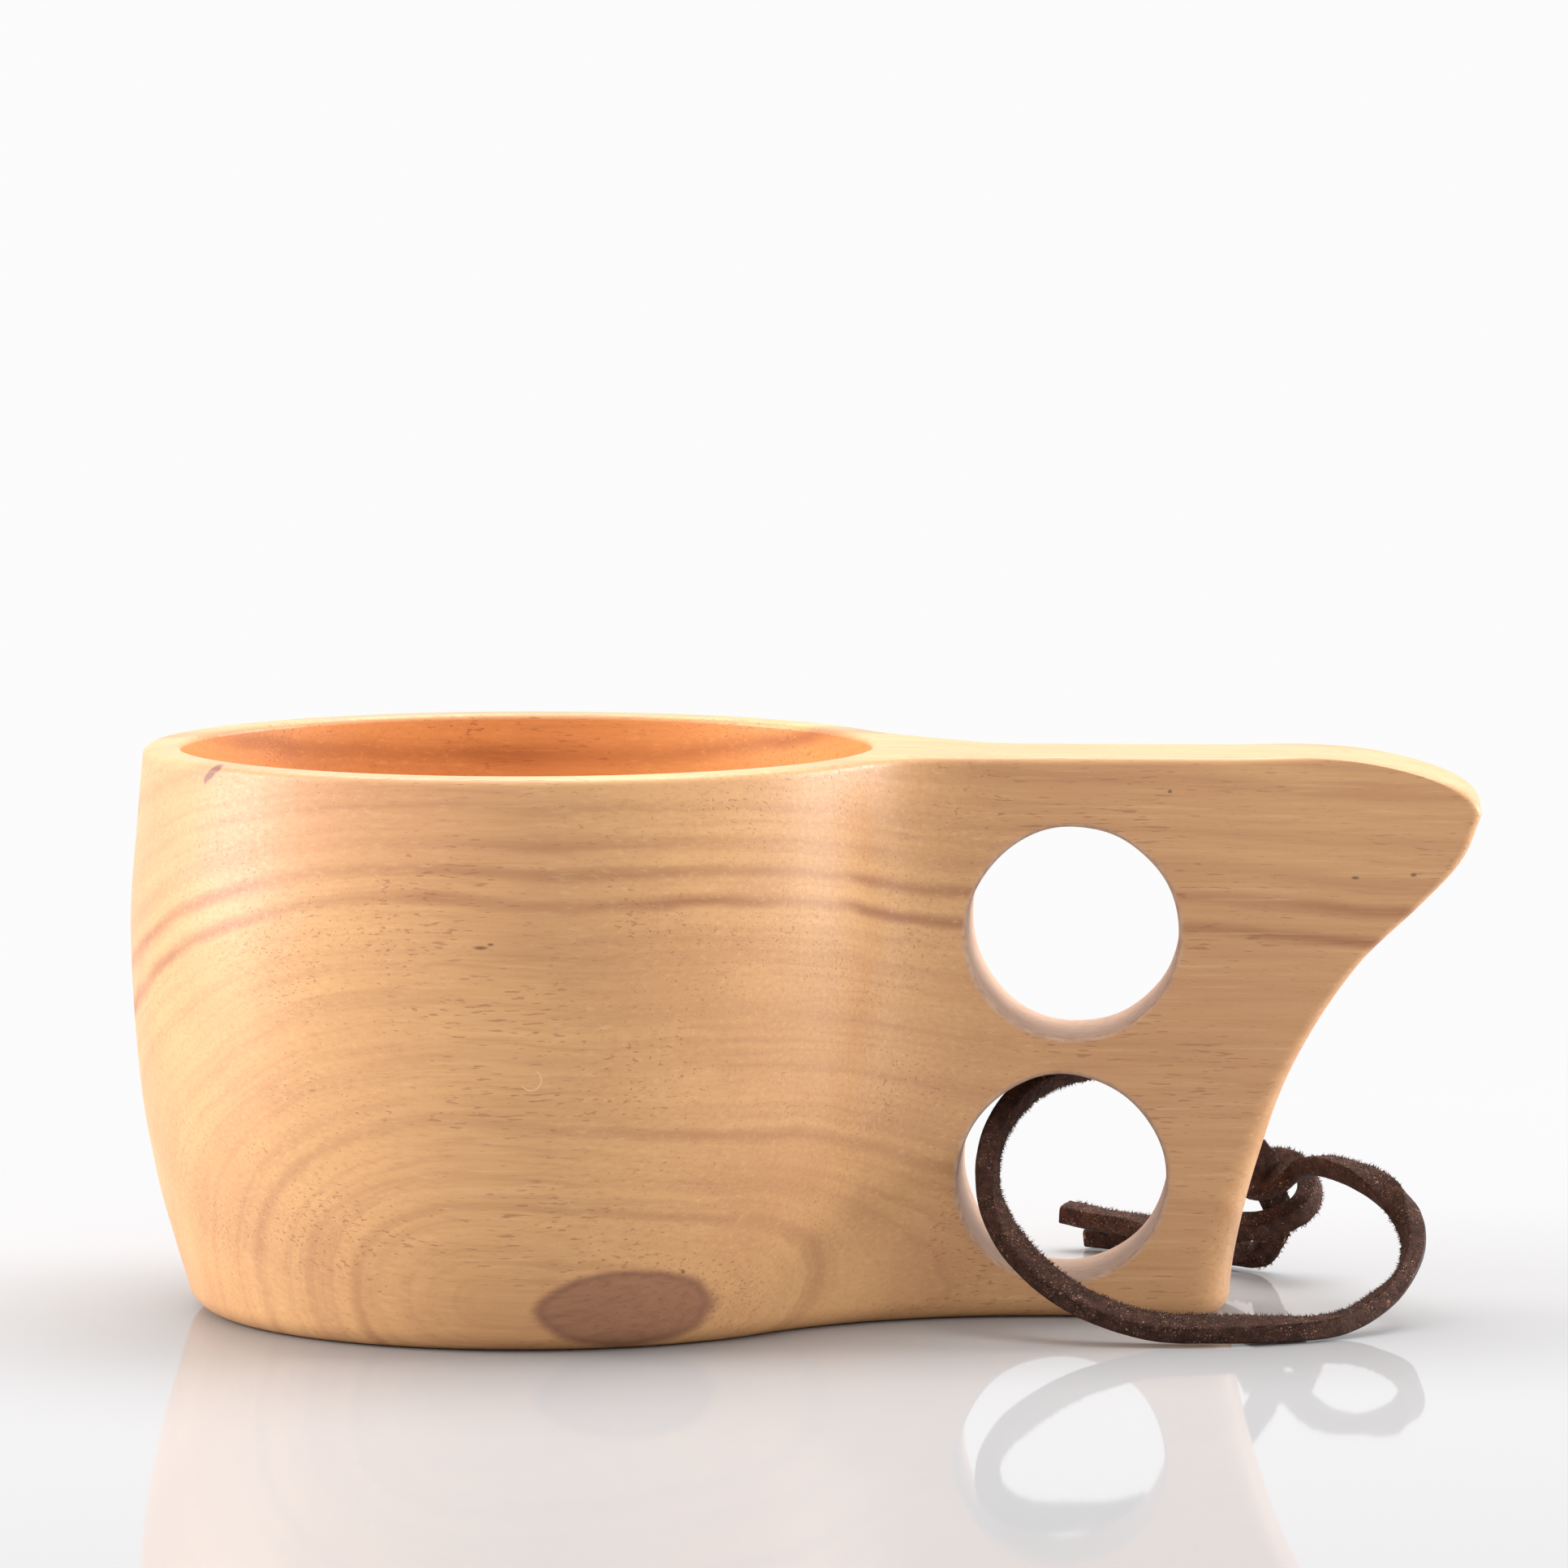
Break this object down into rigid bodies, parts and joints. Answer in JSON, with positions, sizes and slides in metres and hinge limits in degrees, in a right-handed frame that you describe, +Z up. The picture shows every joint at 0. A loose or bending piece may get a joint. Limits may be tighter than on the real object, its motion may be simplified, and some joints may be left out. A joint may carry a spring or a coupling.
{
  "type": "wooden kuksa cup",
  "caption": "Carved wooden drinking cup with a flared wing handle, finger holes through it and a knotted leather wrist lace.",
  "frame": {"origin": "centre of the bowl's axis on the base plane that the cup stands on", "axes": "+X from the bowl's axis towards the handle's tip, +Y away from the front face, +Z up out of the bowl's mouth"},
  "size_m": [0.1668, 0.103, 0.0698],
  "materials": {
    "carved_wood": "satin, lightly oiled",
    "lace_leather": "rough suede with one smooth face"
  },
  "bodies": {
    "cup": {"cup_body": "carved_wood"},
    "wrist_loop": {"lace_loop": "lace_leather", "lace_knot": "lace_leather", "lace_tail_upper": "lace_leather", "lace_tail_lower": "lace_leather"}
  },
  "joints": [
    {"name": "loop_swing", "type": "hinge", "parent": "cup", "child": "wrist_loop", "pos_m": [0.0666, 0, 0.0174], "axis": [0, 1, 0], "range_deg": [-27, 0]}
  ]
}
